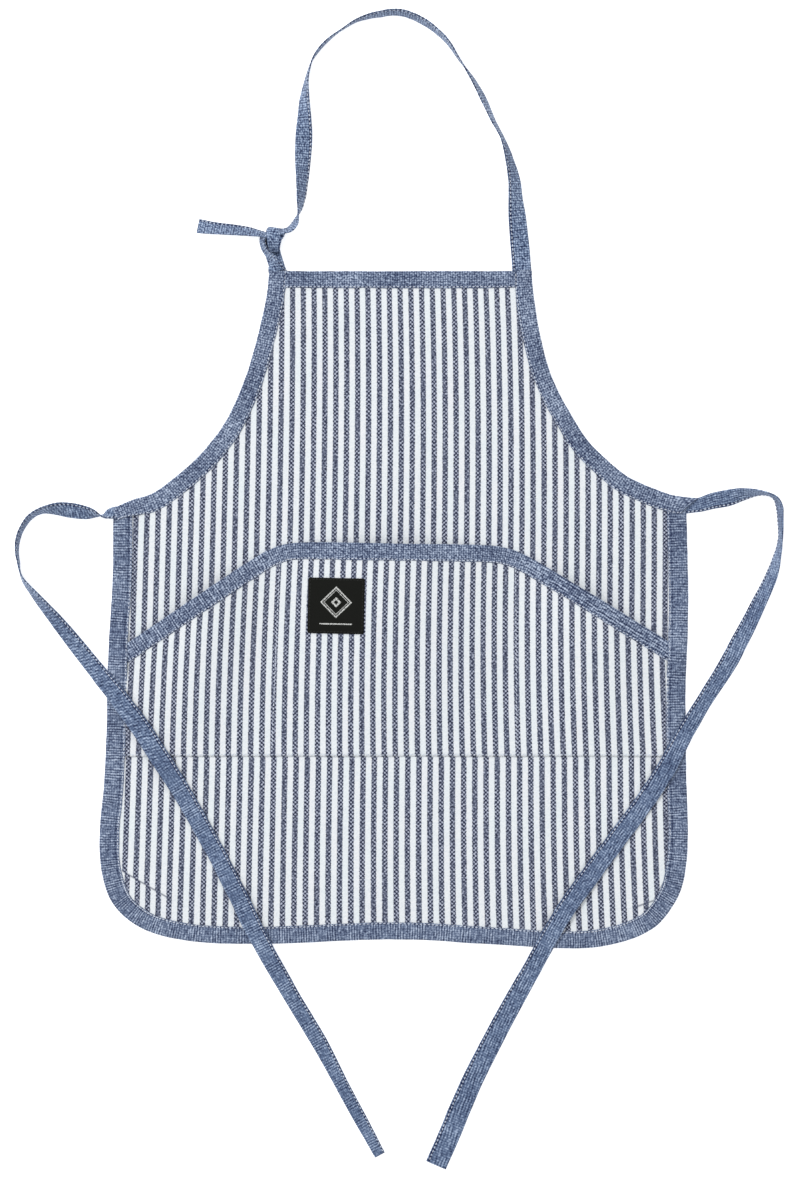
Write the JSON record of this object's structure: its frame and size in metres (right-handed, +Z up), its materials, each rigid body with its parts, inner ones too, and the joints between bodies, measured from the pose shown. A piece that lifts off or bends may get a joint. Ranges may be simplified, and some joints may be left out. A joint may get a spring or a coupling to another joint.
{
  "type": "bib apron",
  "caption": "Child's bib apron of striped cotton with bound edges, a knotted neck loop, waist ties and a divided front pocket with a woven label, laid flat.",
  "frame": {"origin": "on the surface the apron lies on, below the middle of the apron with its neck loop, waist ties left out", "axes": "+X to the viewer's right as the front is seen, +Y from the hem up to the neck, +Z up out of the front"},
  "size_m": [0.5449, 0.8197, 0.0129],
  "materials": {
    "striped_cotton": "plain weave, blue and white stripes running up the apron",
    "cotton_tape": "blue chambray bias tape, matt",
    "sewing_thread": "polyester sewing thread, slightly glossy",
    "woven_label": "fine black satin weave with a plain pale motif",
    "label_thread": "black sewing thread"
  },
  "bodies": {
    "apron": {"front_panel": "striped_cotton", "pocket_panel": "striped_cotton", "bib_band": "cotton_tape", "left_armhole_binding": "cotton_tape", "right_armhole_binding": "cotton_tape", "side_and_hem_binding": "cotton_tape", "pocket_binding": "cotton_tape", "bib_band_stitching": "sewing_thread", "left_armhole_stitching": "sewing_thread", "right_armhole_stitching": "sewing_thread", "side_and_hem_stitching": "sewing_thread", "pocket_binding_stitching": "sewing_thread", "pocket_base_stitching": "sewing_thread", "left_divider_stitching": "sewing_thread", "right_divider_stitching": "sewing_thread", "label": "woven_label", "label_stitching": "label_thread", "left_tie_loop": "cotton_tape", "right_tie_loop": "cotton_tape"},
    "neck_loop": {"neck_strap": "cotton_tape", "neck_tab": "cotton_tape", "strap_tail": "cotton_tape", "strap_knot": "cotton_tape", "neck_strap_stitching": "sewing_thread"},
    "left_tie": {"left_tie_end": "cotton_tape", "left_tie_stitching": "sewing_thread"},
    "right_tie": {"right_tie_end": "cotton_tape", "right_tie_stitching": "sewing_thread"}
  },
  "joints": [
    {"name": "neck_loop_fold", "type": "hinge", "parent": "apron", "child": "neck_loop", "pos_m": [0, 0.1465, 0.0027], "axis": [1, 0, 0], "range_deg": [0, 140]},
    {"name": "left_tie_fold", "type": "hinge", "parent": "apron", "child": "left_tie", "pos_m": [-0.216, -0.1272, 0.0021], "axis": [-0.746, -0.666, 0], "range_deg": [0, 150]},
    {"name": "right_tie_fold", "type": "hinge", "parent": "apron", "child": "right_tie", "pos_m": [0.2369, -0.1282, 0.0021], "axis": [-0.89, 0.456, 0], "range_deg": [0, 150]}
  ]
}
